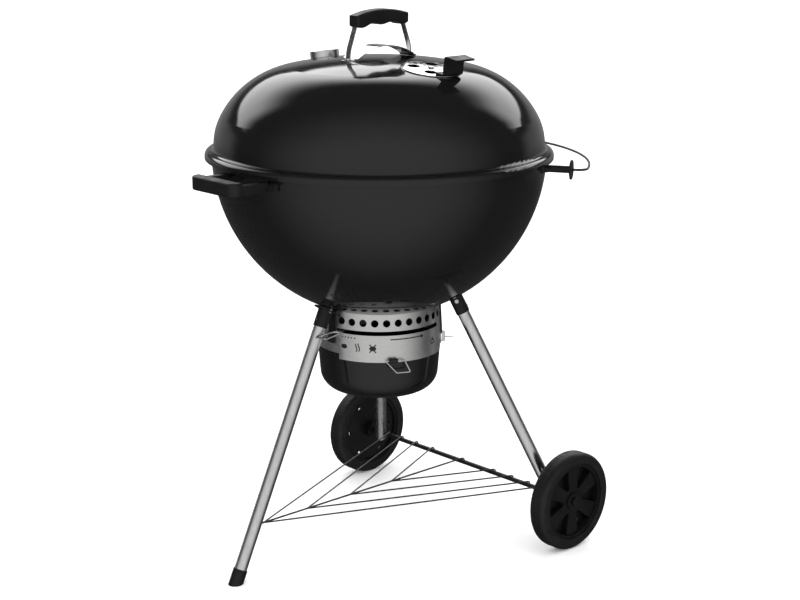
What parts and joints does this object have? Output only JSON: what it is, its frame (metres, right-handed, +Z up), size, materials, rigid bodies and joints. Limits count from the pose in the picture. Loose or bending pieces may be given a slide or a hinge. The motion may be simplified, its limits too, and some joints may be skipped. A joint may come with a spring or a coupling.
{
  "type": "kettle charcoal grill",
  "caption": "Round kettle charcoal grill on a wheeled tripod with lid, side handle, lid holder hoop, ash pot, ash ring, cleaning lever, damper, gauge and wire rack.",
  "frame": {"origin": "on the floor, under the middle of the overall bounding box, which is on the bowl's vertical axis", "axes": "+Z up; +X from the front leg and bowl handle towards the wheels and lid holder; +Y from the damper towards the lid gauge, along the axle"},
  "size_m": [0.845, 0.7084, 1.1074],
  "materials": {
    "black_enamel": "gloss enamel",
    "leg_metal": "satin",
    "black_plastic": "matte moulded nylon",
    "grip_plastic": "fine-grained nylon",
    "brushed": "brushed",
    "polished": "polished",
    "bright_steel": "bright",
    "chrome_wire": "bright plated wire",
    "black_wire": "black coated wire",
    "tyre": "matte tread",
    "wheel": "moulded",
    "steel_grate": "plated rod",
    "dial": "printed dial",
    "glass": "clear",
    "needle": "painted"
  },
  "bodies": {
    "stand": {"bowl": "black_enamel", "leg_sockets": "black_plastic", "leg_pins": "bright_steel", "front_leg": "leg_metal", "rear_leg_left": "leg_metal", "rear_leg_right": "leg_metal", "foot_cap": "black_plastic", "axle": "black_wire", "axle_caps": "black_plastic", "bottom_rack": "black_wire", "ash_shield": "brushed", "shield_straps": "black_wire", "shield_ear": "brushed", "shield_hook": "black_wire", "charcoal_grate": "steel_grate", "grate_brackets": "bright_steel", "grate_ring": "steel_grate", "grate_bars": "steel_grate", "flap_front": "steel_grate", "flap_rear": "steel_grate", "bowl_handle": "grip_plastic", "handle_brackets": "black_wire", "lid_holder": "black_wire", "holder_sleeves": "black_plastic", "holder_brackets": "black_wire"},
    "lid": {"lid_shell": "black_enamel", "handle_strap": "bright_steel", "lid_grip": "grip_plastic", "heat_shield": "polished", "handle_screws": "bright_steel", "damper_rivet": "polished", "gauge_case": "chrome_wire", "gauge_dial": "dial", "gauge_glass": "glass", "gauge_stem": "bright_steel"},
    "damper": {"damper_plate": "polished", "damper_tab": "black_plastic"},
    "needle": {"gauge_needle": "needle"},
    "cleaner": {"blades": "brushed", "cleaner_shaft": "bright_steel", "lever_strap": "bright_steel", "lever_loop": "chrome_wire"},
    "ash_pot": {"ash_pot": "black_enamel", "pot_latch": "black_wire"},
    "pot_bail": {"pot_bail": "chrome_wire"},
    "wheel_left": {"tyre_left": "tyre", "wheel_left": "wheel"},
    "wheel_right": {"tyre_right": "tyre", "wheel_right": "wheel"}
  },
  "joints": [
    {"name": "lid_lift", "type": "slide", "parent": "stand", "child": "lid", "axis": [0, 0, 1], "range_m": [0, 0.3]},
    {"name": "damper_turn", "type": "hinge", "parent": "lid", "child": "damper", "pos_m": [0, -0.1482, 1.002], "axis": [0, -0.1565, 0.9877], "range_deg": [0, 45]},
    {"name": "needle_turn", "type": "hinge", "parent": "lid", "child": "needle", "pos_m": [0, 0.1656, 0.99907], "axis": [0, 0.1748, 0.9846], "range_deg": [-270, 0]},
    {"name": "cleaner_turn", "type": "hinge", "parent": "stand", "child": "cleaner", "pos_m": [0, 0, 0.48], "axis": [0, 0, 1], "range_deg": [0, 100]},
    {"name": "pot_drop", "type": "slide", "parent": "stand", "child": "ash_pot", "axis": [0, 0, -1], "range_m": [0, 0.15]},
    {"name": "bail_swing", "type": "hinge", "parent": "ash_pot", "child": "pot_bail", "pos_m": [-0.05962, -0.12224, 0.424], "axis": [-0.8988, 0.4384, 0], "range_deg": [0, 80]},
    {"name": "wheel_left_spin", "type": "hinge", "parent": "stand", "child": "wheel_left", "pos_m": [0.2479, 0.3143, 0.103], "axis": [0, 1, 0], "continuous": true},
    {"name": "wheel_right_spin", "type": "hinge", "parent": "stand", "child": "wheel_right", "pos_m": [0.2479, -0.3143, 0.103], "axis": [0, 1, 0], "continuous": true}
  ]
}
